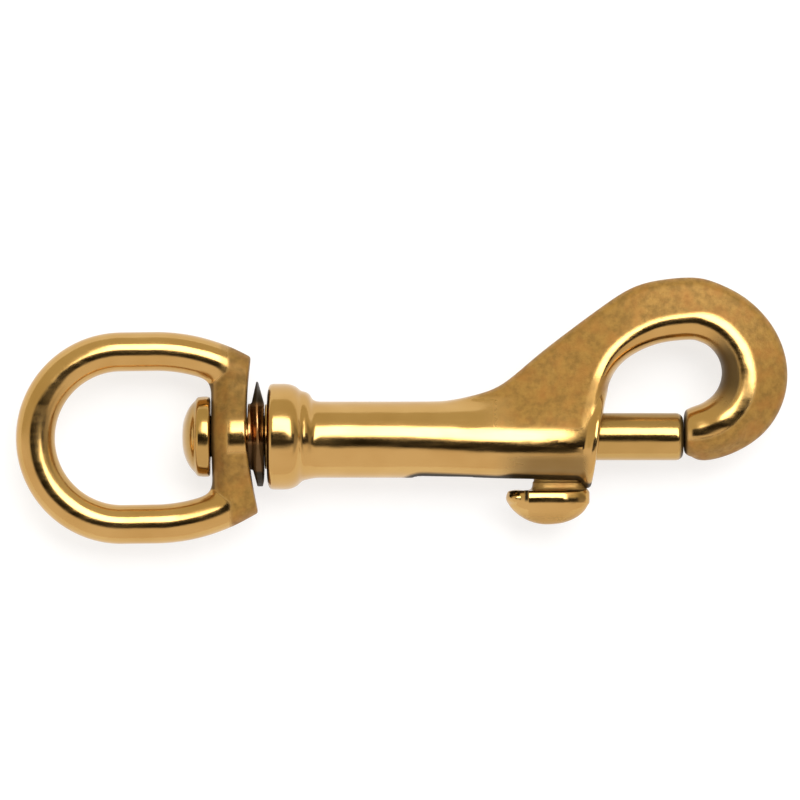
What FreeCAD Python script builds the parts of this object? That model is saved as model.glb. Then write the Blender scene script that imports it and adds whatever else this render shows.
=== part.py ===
"""Swivel-eye bolt snap: a cast hook with a tubular barrel, a sprung latch bolt worked by a thumb knob,
and a D-shaped eye that turns on a riveted stud behind the barrel.

Frame, in millimetres: the snap lies flat. +X runs along the swivel and bolt axis from the eye to the
hook, +Y is the side the hook swells to (the thumb knob is on -Y), +Z is up. The origin is the middle of
the eye's opening, on the swivel axis. Each piece is written to parts/NODE.step.
"""

import FreeCAD, Part
import math
import os

Vector = FreeCAD.Vector

# ---- driving dimensions -------------------------------------------------------------------------
# eye
WIRE_R = 2.28            # radius of the eye's round bow
BOW_R = 10.05            # centreline radius of the bow's round end
BOW_X = -1.2             # centre of that round end
BOW_STRAIGHT = 3.9       # straight stretch after the round end
BOW_CHEEK_R = 19.7       # centreline radius of the cheeks that close in on the crossbar
CROSSBAR_X0 = 9.3        # inner face of the crossbar
CROSSBAR_X1 = 13.4       # outer face of the crossbar, on the axis
CROSSBAR_HOLLOW_R = 46.0 # radius of the hollow outer face
CROSSBAR_END_Y = 6.2     # centre of the crossbar's rounded ends
CROSSBAR_END_R = 2.4
BOSS_R = 4.9             # swelling of the crossbar around the stud
BOSS_X0 = 11.2           # where its bevelled inner end meets its round side
SPOT_R = 4.6             # spot face that takes the washer's hub
EYE_BORE_R = 2.4

# stud that the eye turns on
SHANK_R = 2.32
HEAD_R = 4.6
HEAD_X0 = 5.81           # top of the riveted head
HEAD_X1 = 9.2            # underside of the riveted head
HEAD_RIM_X = 8.4         # where the head's dome meets its rim
NECK_R = 3.8
NECK_X0 = 15.5
SPIGOT_R = 2.75
SPIGOT_X1 = 21.0
SPRING_PILOT_R = 1.65
SPRING_PILOT_LENGTH = 1.6

# lens-shaped thrust washer
WASHER_X0 = 13.5
WASHER_X1 = 15.4
WASHER_RIM_R = 6.1
WASHER_RIM_X0 = 14.5
WASHER_RIM_X1 = 14.8
WASHER_HUB_R = 3.9

# barrel and collar of the hook casting
COLLAR_X0 = 15.7
COLLAR_R = 6.17
COLLAR_X1 = 19.3
COLLAR_EDGE_R = 0.9
BEAD_X = 20.1
BEAD_R = 5.25
BEAD_X1 = 21.7
BARREL_R = 4.45
BARREL_DROP = 0.35       # the barrel is cast this much low of the bore
BARREL_SWELL_X = 30.0    # from here forward the barrel swells towards the mouth
BARREL_X1 = 52.0
BARREL_X1_R = 4.85
BOLT_BORE_R = 2.85
LIP_X1 = 16.3            # the collar's lip is rolled in over the stud's flange
LIP_R = 3.9
RECESS_X1 = 17.65
RECESS_R = 4.75

# flared mouth in front of the barrel
MOUTH_X = 54.32          # front face on the axis
MOUTH_TILT = 8.2         # degrees that the front face leans back towards the knob
MOUTH_R = 5.6
MOUTH_THICK = 0.85
FLARE_LENGTH = 3.4

# slot for the knob's stem
SLOT_X0 = 32.74
SLOT_X1 = 52.82
SLOT_WIDTH = 2.6

# latch bolt
BOLT_R = 2.76
BOLT_TIP_X = 64.15
BOLT_TAIL_X = 43.6
BOLT_CHAMFER = 0.6
BOLT_SEAT_Y = -2.3       # flat milled for the knob's stem
TAIL_PILOT_LENGTH = 1.8

# thumb knob
STEM_X0 = 46.8
STEM_X1 = 52.7
STEM_WIDTH = 2.4
PEG_R = 1.25
PEG_TOP_Y = 1.4
HEAD_DECK_Y = -6.25      # the knob head's face towards the barrel
KNOB_X0 = 43.6
KNOB_X1 = 53.2
KNOB_HALF_WIDTH = 2.45
KNOB_DEPTH = 4.15

# spring
SPRING_WIRE_R = 0.28
SPRING_COIL_R = 2.2      # to the middle of the wire
SPRING_TURNS = 12
RUNNING_GAP = 0.02       # between faces that bear on each other

# hook bow: its inner edge is an arc, and its outer edge a nearly round curve about another centre
INNER_CENTRE = (64.89, 7.46)
INNER_R = 3.82
OUTER_CENTRE = (65.60, 7.95)
NOSE_X = 64.3            # end face of the hook's nose


# ---- helpers --------------------------------------------------------------------------------------
def revolve(points, centre_y=0.0):
    """Solid of revolution about the line y = centre_y, z = 0, from (x, radius) points. A point with a
    third and fourth number is reached by an arc through that middle point."""
    edges = []
    last = Vector(points[0][0], centre_y + points[0][1], 0)
    first = last
    for point in points[1:]:
        end = Vector(point[0], centre_y + point[1], 0)
        if len(point) == 4:
            middle = Vector(point[2], centre_y + point[3], 0)
            edges.append(Part.Arc(last, middle, end).toShape())
        else:
            edges.append(Part.LineSegment(last, end).toShape())
        last = end
    edges.append(Part.LineSegment(last, first).toShape())
    face = Part.Face(Part.Wire(edges))
    return face.revolve(Vector(0, centre_y, 0), Vector(1, 0, 0), 360)


def cylinder_x(radius, x0, x1):
    return Part.makeCylinder(radius, x1 - x0, Vector(x0, 0, 0), Vector(1, 0, 0))


def stadium_prism(x0, x1, width, y0, y1):
    """Block with round ends, long in X and standing along Y."""
    half = width / 2
    a, b = x0 + half, x1 - half
    wire = Part.Wire([
        Part.LineSegment(Vector(a, y0, half), Vector(b, y0, half)).toShape(),
        Part.Arc(Vector(b, y0, half), Vector(x1, y0, 0), Vector(b, y0, -half)).toShape(),
        Part.LineSegment(Vector(b, y0, -half), Vector(a, y0, -half)).toShape(),
        Part.Arc(Vector(a, y0, -half), Vector(x0, y0, 0), Vector(a, y0, half)).toShape(),
    ])
    return Part.Face(wire).extrude(Vector(0, y1 - y0, 0))


def arm_section(inner, outer, crest, half_height, edge_r):
    """Closed curve across the hook arm, upright on the line from the inner to the outer edge point. It is
    the hull of an ellipse at the inner edge, crest wide and half_height tall, and a circle of edge_r at
    the outer edge."""
    start = Vector(inner[0], inner[1], 0)
    along = Vector(outer[0], outer[1], 0) - start
    width = along.Length
    along.normalize()
    steps = 8
    upper = []
    for k in range(steps + 1):
        angle = math.pi * (1 - k / steps)
        c, s = math.cos(angle), math.sin(angle)
        ellipse_reach = math.hypot(crest * c, half_height * s)
        if crest * c + ellipse_reach >= (width - edge_r) * c + edge_r:
            u = crest + crest * crest * c / ellipse_reach
            v = half_height * half_height * s / ellipse_reach
        else:
            u = width - edge_r + edge_r * c
            v = edge_r * s
        upper.append((u, v))
    outline = upper + [(u, -v) for u, v in reversed(upper[1:-1])]
    curve = Part.BSplineCurve()
    curve.interpolate([start + along * u + Vector(0, 0, v) for u, v in outline], PeriodicFlag=True)
    return Part.Wire(curve.toShape())


# ---- hook casting ---------------------------------------------------------------------------------
def bow_outline(angle):
    """Reach of the bow's outer edge from its centre; angle is 0 at the nose and grows round the bow."""
    return 10.93 - 0.56 * math.sin(angle) + 0.56 * math.cos(2 * angle - math.radians(130))


def arm_stations():
    """(inner point, outer point, crest, half height, edge radius) from the nose round the bow and down
    the web into the barrel."""
    stations = [
        ((NOSE_X, 3.26), (NOSE_X, -1.85), 2.6, 2.85, 2.35),
        ((65.3, 3.5), (66.0, -2.7), 2.85, 3.1, 2.25),
        ((66.1, 3.78), (68.5, -2.45), 3.0, 3.3, 2.1),
    ]
    for degrees in range(30, 181, 15):
        angle = math.radians(degrees)
        across = (math.sin(angle), -math.cos(angle))
        turn = (degrees - 30) / 150
        reach = bow_outline(angle)
        inner = tuple(c + INNER_R * d for c, d in zip(INNER_CENTRE, across))
        outer = tuple(c + reach * d for c, d in zip(OUTER_CENTRE, across))
        crest = 2.9 - 0.7 * min(1.0, 2 * turn)
        half_height = 3.3 - 0.6 * turn
        edge_r = 2.5 - 0.8 * min(1.0, 1.6 * turn)
        stations.append((inner, outer, crest, half_height, edge_r))
    stations += [
        ((62.4, 11.05), (61.9, 18.3), 2.2, 2.7, 1.65),
        ((60.2, 10.45), (58.3, 17.35), 2.2, 2.7, 1.65),
        ((58.3, 9.5), (54.7, 15.1), 2.2, 2.8, 1.6),
        ((56.75, 8.2), (50.9, 12.3), 2.2, 3.0, 1.6),
        ((55.75, 6.6), (47.3, 9.5), 2.1, 3.3, 1.5),
        ((55.1, 4.8), (44.4, 7.05), 2.1, 3.8, 1.5),
        ((54.6, 2.9), (41.7, 5.4), 2.1, 4.3, 1.4),
        ((54.2, 0.7), (38.0, 4.3), 2.1, 4.4, 1.35),
        ((53.8, -1.6), (34.5, 3.2), 2.1, 4.3, 1.3),
    ]
    return stations


def hook_arm():
    sections = [arm_section(*station) for station in arm_stations()]
    return Part.makeLoft(sections, True, False)


def collar():
    shoulder = COLLAR_R - COLLAR_EDGE_R
    corner = COLLAR_EDGE_R * (1 - math.sqrt(0.5))
    groove_r = BEAD_R - 0.15
    return revolve([
        (COLLAR_X0, 0),
        (COLLAR_X0, shoulder),
        (COLLAR_X0 + COLLAR_EDGE_R, COLLAR_R, COLLAR_X0 + corner, COLLAR_R - corner),
        (COLLAR_X0 + 2.0, COLLAR_R),
        (COLLAR_X1, groove_r, COLLAR_X1 - 0.5, COLLAR_R - 0.42),
        (BEAD_X + 0.5, BEAD_R - 0.25, BEAD_X - 0.1, BEAD_R),
        (BEAD_X1, BARREL_R - 0.3, BEAD_X + 0.95, BARREL_R + 0.12),
        (BEAD_X1, 0),
    ])


def barrel():
    return revolve([
        (COLLAR_X1, 0),
        (COLLAR_X1, BARREL_R),
        (BARREL_SWELL_X, BARREL_R),
        (BARREL_X1, BARREL_X1_R, (BARREL_SWELL_X + BARREL_X1) / 2, BARREL_R + 0.1),
        (BARREL_X1, 0),
    ], -BARREL_DROP)


def mouth():
    """Flared lip round the bolt's exit, leaning back with the front face."""
    solid = revolve([
        (0, 0),
        (0, MOUTH_R - 0.25),
        (-0.25, MOUTH_R, -0.07, MOUTH_R - 0.07),
        (-MOUTH_THICK, MOUTH_R),
        (-FLARE_LENGTH, BARREL_X1_R - 0.12, -MOUTH_THICK - 0.85, BARREL_X1_R + 0.12),
        (-FLARE_LENGTH, 0),
    ])
    solid.rotate(Vector(0, 0, 0), Vector(0, 0, 1), -MOUTH_TILT)
    solid.translate(Vector(MOUTH_X, -BARREL_DROP, 0))
    return solid


def hook_body():
    solid = collar().fuse(barrel()).fuse(mouth()).fuse(hook_arm())
    bore = cylinder_x(BOLT_BORE_R, RECESS_X1 - 0.5, NOSE_X - 1.0)
    recess = cylinder_x(RECESS_R, LIP_X1, RECESS_X1)
    lip = cylinder_x(LIP_R, COLLAR_X0 - 1, LIP_X1)
    slot = stadium_prism(SLOT_X0, SLOT_X1, SLOT_WIDTH, -8.0, -1.0)
    for cutter in (bore, recess, lip, slot):
        solid = solid.cut(cutter)
    return solid.removeSplitter()


# ---- latch bolt, knob and spring ----------------------------------------------------------------------
def latch_bolt():
    pilot_x = BOLT_TAIL_X - TAIL_PILOT_LENGTH
    solid = revolve([
        (pilot_x, 0),
        (pilot_x, SPRING_PILOT_R - 0.3),
        (pilot_x + 0.3, SPRING_PILOT_R),
        (BOLT_TAIL_X, SPRING_PILOT_R),
        (BOLT_TAIL_X, BOLT_R),
        (BOLT_TIP_X - BOLT_CHAMFER, BOLT_R),
        (BOLT_TIP_X, BOLT_R - BOLT_CHAMFER),
        (BOLT_TIP_X, 0),
    ])
    seat = Part.makeBox(STEM_X1 - STEM_X0 + 0.04, 4, 8, Vector(STEM_X0 - 0.02, BOLT_SEAT_Y - 4, -4))
    peg_x = (STEM_X0 + STEM_X1) / 2
    hole_depth = PEG_TOP_Y - BOLT_SEAT_Y + 0.2
    hole = Part.makeCylinder(PEG_R + 0.01, hole_depth, Vector(peg_x, BOLT_SEAT_Y, 0), Vector(0, 1, 0))
    return solid.cut(seat).cut(hole)


def thumb_knob():
    """Boat-shaped thumb piece: a flat deck, round ends in plan and a curved keel, on an oblong stem whose
    peg is pressed into the bolt."""
    half_length = (KNOB_X1 - KNOB_X0) / 2
    middle_x = (KNOB_X0 + KNOB_X1) / 2
    straight = half_length - KNOB_HALF_WIDTH
    sections = []
    depths = (0.0, 0.35, 0.9, 1.8, 2.9, 3.7, KNOB_DEPTH - 0.12)
    for depth in depths:
        edge = max(0.0, 0.35 - depth)
        shrink = math.sqrt(max(0.0, 1 - (depth / KNOB_DEPTH) ** 2.5)) - edge * 0.25
        half = KNOB_HALF_WIDTH * shrink
        reach = half + straight * shrink
        y = HEAD_DECK_Y - depth
        points = [Vector(middle_x - reach + half, y, half), Vector(middle_x + reach - half, y, half)]
        points += [Vector(middle_x + reach, y, 0)]
        points += [Vector(middle_x + reach - half, y, -half), Vector(middle_x - reach + half, y, -half)]
        points += [Vector(middle_x - reach, y, 0)]
        sections.append(Part.Wire([
            Part.LineSegment(points[0], points[1]).toShape(),
            Part.Arc(points[1], points[2], points[3]).toShape(),
            Part.LineSegment(points[3], points[4]).toShape(),
            Part.Arc(points[4], points[5], points[0]).toShape(),
        ]))
    head = Part.makeLoft(sections, True, False)
    stem_top = BOLT_SEAT_Y - 0.01
    stem = stadium_prism(STEM_X0, STEM_X1, STEM_WIDTH, HEAD_DECK_Y - 0.4, stem_top)
    peg_x = (STEM_X0 + STEM_X1) / 2
    peg = Part.makeCylinder(PEG_R, PEG_TOP_Y - stem_top, Vector(peg_x, stem_top, 0), Vector(0, 1, 0))
    return head.fuse(stem).fuse(peg).removeSplitter()


def bolt_spring():
    x0 = SPIGOT_X1 + SPRING_WIRE_R + RUNNING_GAP
    x1 = BOLT_TAIL_X - SPRING_WIRE_R - RUNNING_GAP
    length = x1 - x0
    helix = Part.makeHelix(length / SPRING_TURNS, length, SPRING_COIL_R)
    profile = Part.Wire(Part.makeCircle(SPRING_WIRE_R, Vector(SPRING_COIL_R, 0, 0), Vector(0, 1, 0)))
    solid = Part.Wire(helix).makePipeShell([profile], True, True)
    solid.rotate(Vector(0, 0, 0), Vector(0, 1, 0), 90)
    solid.translate(Vector(x0, 0, 0))
    return solid


# ---- swivel ---------------------------------------------------------------------------------------------
def swivel_stud():
    return revolve([
        (HEAD_X0, 0),
        (HEAD_RIM_X, HEAD_R - 0.12, HEAD_X0 + 0.62, 2.6),
        (HEAD_RIM_X + 0.5, HEAD_R),
        (HEAD_X1 - 0.25, HEAD_R),
        (HEAD_X1, HEAD_R - 0.25),
        (HEAD_X1, SHANK_R),
        (NECK_X0, SHANK_R),
        (NECK_X0, NECK_R),
        (LIP_X1 + RUNNING_GAP, NECK_R),
        (LIP_X1 + RUNNING_GAP, RECESS_R - RUNNING_GAP),
        (RECESS_X1 - RUNNING_GAP, RECESS_R - RUNNING_GAP),
        (RECESS_X1 - RUNNING_GAP, SPIGOT_R),
        (SPIGOT_X1, SPIGOT_R),
        (SPIGOT_X1, SPRING_PILOT_R),
        (SPIGOT_X1 + SPRING_PILOT_LENGTH - 0.3, SPRING_PILOT_R),
        (SPIGOT_X1 + SPRING_PILOT_LENGTH, SPRING_PILOT_R - 0.3),
        (SPIGOT_X1 + SPRING_PILOT_LENGTH, 0),
    ])


def thrust_washer():
    bore_r = SHANK_R + 0.08
    return revolve([
        (WASHER_X0, bore_r),
        (WASHER_X0, WASHER_HUB_R),
        (WASHER_RIM_X0, WASHER_RIM_R),
        (WASHER_RIM_X1, WASHER_RIM_R),
        (WASHER_X1, WASHER_HUB_R + 0.1),
        (WASHER_X1, bore_r),
    ])


def eye_bow():
    top = Vector(BOW_X, BOW_R, 0)
    straight_end = Vector(BOW_X + BOW_STRAIGHT, BOW_R, 0)
    reach = CROSSBAR_X1 + 2.0 - straight_end.x
    cheek = []
    for share in (0.5, 1.0):
        dx = reach * share
        drop = BOW_CHEEK_R - math.sqrt(BOW_CHEEK_R ** 2 - dx ** 2)
        cheek.append(Vector(straight_end.x + dx, BOW_R - drop, 0))

    def mirrored(point):
        return Vector(point.x, -point.y, 0)

    path = Part.Wire([
        Part.Arc(cheek[1], cheek[0], straight_end).toShape(),
        Part.LineSegment(straight_end, top).toShape(),
        Part.Arc(top, Vector(BOW_X - BOW_R, 0, 0), mirrored(top)).toShape(),
        Part.LineSegment(mirrored(top), mirrored(straight_end)).toShape(),
        Part.Arc(mirrored(straight_end), mirrored(cheek[0]), mirrored(cheek[1])).toShape(),
    ])
    start = path.Edges[0].tangentAt(path.Edges[0].FirstParameter)
    profile = Part.Wire(Part.makeCircle(WIRE_R, cheek[1], start))
    return path.makePipeShell([profile], True, True)


def crossbar_outline(x, boss_r, end_r):
    """Hull of the boss circle and the two end circles, in the plane at x."""
    lean = math.asin((boss_r - end_r) / CROSSBAR_END_Y)
    s, c = math.sin(lean), math.cos(lean)
    y_boss, z_boss = boss_r * s, boss_r * c
    y_end, z_end = CROSSBAR_END_Y + end_r * s, end_r * c
    tip = CROSSBAR_END_Y + end_r
    return Part.Wire([
        Part.Arc(Vector(x, -y_boss, z_boss), Vector(x, 0, boss_r), Vector(x, y_boss, z_boss)).toShape(),
        Part.LineSegment(Vector(x, y_boss, z_boss), Vector(x, y_end, z_end)).toShape(),
        Part.Arc(Vector(x, y_end, z_end), Vector(x, tip, 0), Vector(x, y_end, -z_end)).toShape(),
        Part.LineSegment(Vector(x, y_end, -z_end), Vector(x, y_boss, -z_boss)).toShape(),
        Part.Arc(Vector(x, y_boss, -z_boss), Vector(x, 0, -boss_r), Vector(x, -y_boss, -z_boss)).toShape(),
        Part.LineSegment(Vector(x, -y_boss, -z_boss), Vector(x, -y_end, -z_end)).toShape(),
        Part.Arc(Vector(x, -y_end, -z_end), Vector(x, -tip, 0), Vector(x, -y_end, z_end)).toShape(),
        Part.LineSegment(Vector(x, -y_end, z_end), Vector(x, -y_boss, z_boss)).toShape(),
    ])


def swivel_eye():
    outlines = [
        crossbar_outline(CROSSBAR_X0, BOSS_R - 1.5, CROSSBAR_END_R - 0.5),
        crossbar_outline(BOSS_X0, BOSS_R, CROSSBAR_END_R),
        crossbar_outline(CROSSBAR_X1 + 2, BOSS_R, CROSSBAR_END_R),
    ]
    crossbar = Part.makeLoft(outlines, True, True)
    solid = eye_bow().fuse(crossbar)
    bore = cylinder_x(EYE_BORE_R, 0, CROSSBAR_X1 + 2)
    spot = cylinder_x(SPOT_R, CROSSBAR_X1, CROSSBAR_X1 + 4)
    hollow_base = Vector(CROSSBAR_X1 + CROSSBAR_HOLLOW_R, 0, -10)
    hollow = Part.makeCylinder(CROSSBAR_HOLLOW_R, 20, hollow_base)
    for cutter in (bore, spot, hollow):
        solid = solid.cut(cutter)
    return solid.removeSplitter()


# ---- write every piece --------------------------------------------------------------------------------------
PIECES = {
    "hook_body": hook_body,
    "latch_bolt": latch_bolt,
    "thumb_knob": thumb_knob,
    "bolt_spring": bolt_spring,
    "swivel_stud": swivel_stud,
    "thrust_washer": thrust_washer,
    "swivel_eye": swivel_eye,
}

os.makedirs("parts", exist_ok=True)
for node, make in PIECES.items():
    shape = make()
    solids = shape.Solids
    print(node, "solids", len(solids), "valid", shape.isValid(), "volume mm3", round(shape.Volume, 2))
    piece = solids[0] if len(solids) == 1 else Part.makeCompound(solids)
    piece.exportStep(os.path.join("parts", node + ".step"))
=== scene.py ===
"""Looks of a swivel-eye bolt snap in cast brass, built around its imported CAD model.

The snap lies flat: +X runs from the eye to the hook, +Y is the side the hook swells to, +Z is up. Every
piece but the spring is modelled as a distance field, in millimetres, whose zero surface is meshed: the
castings get their soft blends that way, and the turned pieces their small edge roundings.
"""

import math

import bpy
import numpy as np
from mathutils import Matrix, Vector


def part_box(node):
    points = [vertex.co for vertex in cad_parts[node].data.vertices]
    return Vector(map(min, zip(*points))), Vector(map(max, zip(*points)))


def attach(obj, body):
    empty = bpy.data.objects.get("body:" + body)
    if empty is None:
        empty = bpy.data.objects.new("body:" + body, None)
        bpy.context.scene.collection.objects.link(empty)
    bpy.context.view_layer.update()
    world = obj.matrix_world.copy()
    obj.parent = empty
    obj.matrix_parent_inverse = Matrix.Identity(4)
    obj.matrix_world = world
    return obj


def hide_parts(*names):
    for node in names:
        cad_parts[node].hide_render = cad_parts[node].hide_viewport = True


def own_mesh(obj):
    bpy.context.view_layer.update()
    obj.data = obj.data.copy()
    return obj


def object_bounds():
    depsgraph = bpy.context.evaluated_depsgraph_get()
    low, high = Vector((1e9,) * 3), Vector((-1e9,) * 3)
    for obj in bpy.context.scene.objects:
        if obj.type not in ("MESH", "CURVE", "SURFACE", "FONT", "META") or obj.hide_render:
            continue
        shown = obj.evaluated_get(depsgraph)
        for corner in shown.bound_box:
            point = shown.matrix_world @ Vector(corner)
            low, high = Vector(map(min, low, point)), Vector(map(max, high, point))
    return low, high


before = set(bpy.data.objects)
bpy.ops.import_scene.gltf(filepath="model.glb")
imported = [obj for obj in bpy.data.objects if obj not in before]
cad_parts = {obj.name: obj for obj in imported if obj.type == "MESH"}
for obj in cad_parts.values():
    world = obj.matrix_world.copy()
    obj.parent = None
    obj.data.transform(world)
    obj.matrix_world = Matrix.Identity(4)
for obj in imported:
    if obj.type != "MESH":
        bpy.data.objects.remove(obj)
cad_low, cad_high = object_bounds()

MM = 0.001


def node_box(node):
    """Lowest and highest corners of a CAD node, in millimetres."""
    low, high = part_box(node)
    return np.array(low) / MM, np.array(high) / MM


# ---- driving dimensions, in millimetres: the frame's own, and those of the cast shapes -----------
BOLT_LOW, BOLT_HIGH = node_box("latch_bolt")
KNOB_LOW, KNOB_HIGH = node_box("thumb_knob")
STUD_LOW, STUD_HIGH = node_box("swivel_stud")
WASHER_LOW, WASHER_HIGH = node_box("thrust_washer")
EYE_LOW, EYE_HIGH = node_box("swivel_eye")
SPRING_LOW, SPRING_HIGH = node_box("bolt_spring")
BODY_LOW, BODY_HIGH = node_box("hook_body")

BOLT_R = BOLT_HIGH[2]
BORE_R = BOLT_R + 0.09

# Collar, which reaches COLLAR_LEFT and COLLAR_RIGHT from its widest place, and the bead, a little to +Y.
COLLAR_X0 = BODY_LOW[0]
COLLAR_R = BODY_HIGH[2]
COLLAR_LEFT = 1.9
COLLAR_RIGHT = 2.55
COLLAR_MIDDLE = COLLAR_X0 + COLLAR_LEFT
COLLAR_FLAT_R = 3.2
BEAD_X = COLLAR_X0 + 4.35
BEAD_R = 4.95
BEAD_ROUND = 0.75
BEAD_RAISED = 0.25

# Barrel, which swells towards its leaning mouth. Its axis lies BARREL_DROP to -Y of the bolt's.
BARREL_R = 4.45
BARREL_SWELL = 0.4
BARREL_DROP = 0.35
SWELL_X = 30.0
MOUTH_X = 54.32
MOUTH_R = 5.6
MOUTH_TILT = math.radians(8.2)
LIP_ROUND = 0.45

# How far the barrel's crest leans away from the web near the mouth, and where the lean starts and ends.
SKEW = 0.6
SKEW_X0 = 26.0
SKEW_X1 = 46.0

# The nose and the bolt's gap to it, the stud's seat in the collar, the slot, and the knob's stem and deck.
NOSE_X = 64.3
BOLT_GAP = 0.1
LIP_HOLE_R = 3.9
FLANGE_X0 = COLLAR_X0 + 0.62
FLANGE_X1 = COLLAR_X0 + 1.93
FLANGE_R = STUD_HIGH[1]
SLOT_X0 = 32.74
SLOT_X1 = 52.82
SLOT_WIDTH = 2.6
STEM_X0 = 46.8
STEM_X1 = 52.7
STEM_WIDTH = 2.4
DECK_Y = -6.25
SPRING_SEAT_X = SPRING_LOW[0]

# The eye's lean on its loose stud, about a point on the axis.
EYE_LEAN = math.radians(0.8)
EYE_PIVOT_X = 11.4


# ---- distance fields -----------------------------------------------------------------------------
def smooth_min(a, b, reach):
    """Union of two fields with a fillet that starts where they differ by less than reach."""
    overlap = np.maximum(reach - np.abs(a - b), 0) / reach
    return np.minimum(a, b) - overlap ** 3 * reach / 6


def smooth_max(a, b, reach):
    """Intersection of two fields with a rounded edge."""
    return -smooth_min(-a, -b, reach)


def smooth_step(t):
    """0 up to t = 0, 1 from t = 1 on, and level at both ends."""
    t = np.clip(t, 0, 1)
    return t * t * t * (t * (6 * t - 15) + 10)


def rising(value, start, over):
    """0 up to start, and 1 once value is past it by over."""
    return smooth_step((value - start) / over)


def falling(value, end, over):
    """0 from end on, and 1 where value is short of it by over."""
    return smooth_step((end - value) / over)


def rounded_box(u, v, radius):
    """Field of a rectangle whose sides are at u = 0 and v = 0, with a rounded corner."""
    inner_u, inner_v = u + radius, v + radius
    outside = np.hypot(np.maximum(inner_u, 0), np.maximum(inner_v, 0))
    return outside + np.minimum(np.maximum(inner_u, inner_v), 0) - radius


def stadium(u, v, start, end, radius):
    """Field of a line from start to end along u, thickened by radius."""
    nearest = np.clip(u, start + radius, end - radius)
    return np.hypot(u - nearest, v) - radius


def gradient(field, points, step=0.02):
    """Gradient of a field at points, from four samples round each."""
    total = np.zeros_like(points)
    for corner in ((1, -1, -1), (-1, -1, 1), (-1, 1, -1), (1, 1, 1)):
        offset = np.array(corner, float)
        total += offset * field(*(points + step * offset).T)[:, None]
    return total / (4 * step)


def surface_net(value):
    """Quads and vertex places, in grid steps, of the zero surface of a grid of field values."""
    cells = np.array(value.shape) - 1
    places = []
    owners = []
    quads = []
    for axis in range(3):
        lower = [slice(None)] * 3
        upper = [slice(None)] * 3
        lower[axis] = slice(0, -1)
        upper[axis] = slice(1, None)
        a, b = value[tuple(lower)], value[tuple(upper)]
        found = np.argwhere((a < 0) != (b < 0))
        first, second = a[tuple(found.T)], b[tuple(found.T)]
        place = found.astype(float)
        place[:, axis] += first / (first - second)
        u, v = (axis + 1) % 3, (axis + 2) % 3
        ring = []
        for du, dv in ((0, 0), (1, 0), (1, 1), (0, 1)):
            cell = found.copy()
            cell[:, u] -= du
            cell[:, v] -= dv
            ring.append(np.ravel_multi_index(cell.T, cells))
            places.append(place)
            owners.append(ring[-1])
        ring = np.stack(ring, 1)
        ring[first > 0] = ring[first > 0][:, ::-1]
        quads.append(ring)
    used, index = np.unique(np.concatenate(owners), return_inverse=True)
    places = np.concatenate(places)
    count = np.bincount(index)
    vertices = np.stack([np.bincount(index, places[:, k]) / count for k in range(3)], 1)
    return vertices, np.searchsorted(used, np.concatenate(quads))


def nothing(x, y, z):
    """Vertex attribute that is 0 all over."""
    return np.zeros(np.shape(x))


def project(field, points, pitch):
    """Moves points onto the field's zero surface, and gives the gradient's length and direction there."""
    for _ in range(4):
        slope = gradient(field, points)
        steep = np.maximum((slope ** 2).sum(1), 1e-6)
        step = slope * (field(*points.T) / steep)[:, None]
        length = np.linalg.norm(step, axis=1, keepdims=True)
        points = points - step * np.minimum(1, 0.4 * pitch / np.maximum(length, 1e-9))
    slope = gradient(field, points)
    steep = np.linalg.norm(slope, axis=1, keepdims=True)
    return points, steep[:, 0], slope / np.maximum(steep, 1e-9)


def hollows_and_edges(field, points, steep, normals):
    """How deep in a hollow, and how sharp on an edge, each point is: on a flat face the field a little way
    out is that distance, but less over a hollow, and it is less deep behind an edge."""
    reach = 0.7
    scale = np.maximum(steep, 0.2) * reach
    outside = field(*(points + reach * normals).T) / scale
    inside = field(*(points - reach * normals).T) / scale
    return 1 - outside, 1 + inside


def field_piece(name, field, low, high, pitch, cast=nothing, shade_and_stain=nothing):
    """A piece whose surface is the field's zero surface, onto which each vertex is moved. Vertex attributes
    go with it for the material: cast, how rough the casting is left there; a darkening value, how much
    painted shade, with a little dirt, darkens it; the hollow depth, how deep in a hollow the vertex is,
    where the material paints shade; and edge, how sharp an edge it is on."""
    start = np.array(low) - 2 * pitch
    counts = np.ceil((np.array(high) + 2 * pitch - start) / pitch).astype(int) + 1
    x, y, z = np.ix_(*[start[k] + pitch * np.arange(counts[k]) for k in range(3)])
    value = np.broadcast_to(field(x, y, z), counts)
    vertices, quads = surface_net(value)
    points, steep, normals = project(field, start + pitch * vertices, pitch)
    mesh = bpy.data.meshes.new(name)
    mesh.from_pydata((points * MM).tolist(), [], quads.tolist())
    mesh.polygons.foreach_set("use_smooth", [True] * len(quads))
    mesh.normals_split_custom_set_from_vertices(normals.tolist())
    # The hollow depth lets the material paint shade into hollows and creases.
    hollow_shade, edge = hollows_and_edges(field, points, steep, normals)
    shades = {"hollow_shade": hollow_shade, "edge": edge, "cast": cast(*points.T), "shade_and_stain": shade_and_stain(*points.T)}
    for shade, values in shades.items():
        values = np.clip(values, 0, 1).astype(np.float32)
        mesh.attributes.new(shade, "FLOAT", "POINT").data.foreach_set("value", values)
    piece = bpy.data.objects.new(name, mesh)
    bpy.context.scene.collection.objects.link(piece)
    return piece


# ---- hook casting --------------------------------------------------------------------------------
class Spline:
    """Smooth rows of numbers through the given rows, at 0, 1, 2 and so on."""

    def __init__(self, rows):
        self.rows = np.array(rows, float)
        count = len(self.rows)
        matrix = np.eye(count)
        right = np.zeros_like(self.rows)
        for k in range(1, count - 1):
            matrix[k, k - 1:k + 2] = 1, 4, 1
            right[k] = 6 * (self.rows[k - 1] - 2 * self.rows[k] + self.rows[k + 1])
        self.bend = np.linalg.solve(matrix, right)
        self.last = count - 1

    def __call__(self, place):
        k = np.clip(place.astype(int), 0, self.last - 1)
        t = (place - k)[:, None]
        s = 1 - t
        straight = s * self.rows[k] + t * self.rows[k + 1]
        return straight + ((s ** 3 - s) * self.bend[k] + (t ** 3 - t) * self.bend[k + 1]) / 6


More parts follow.
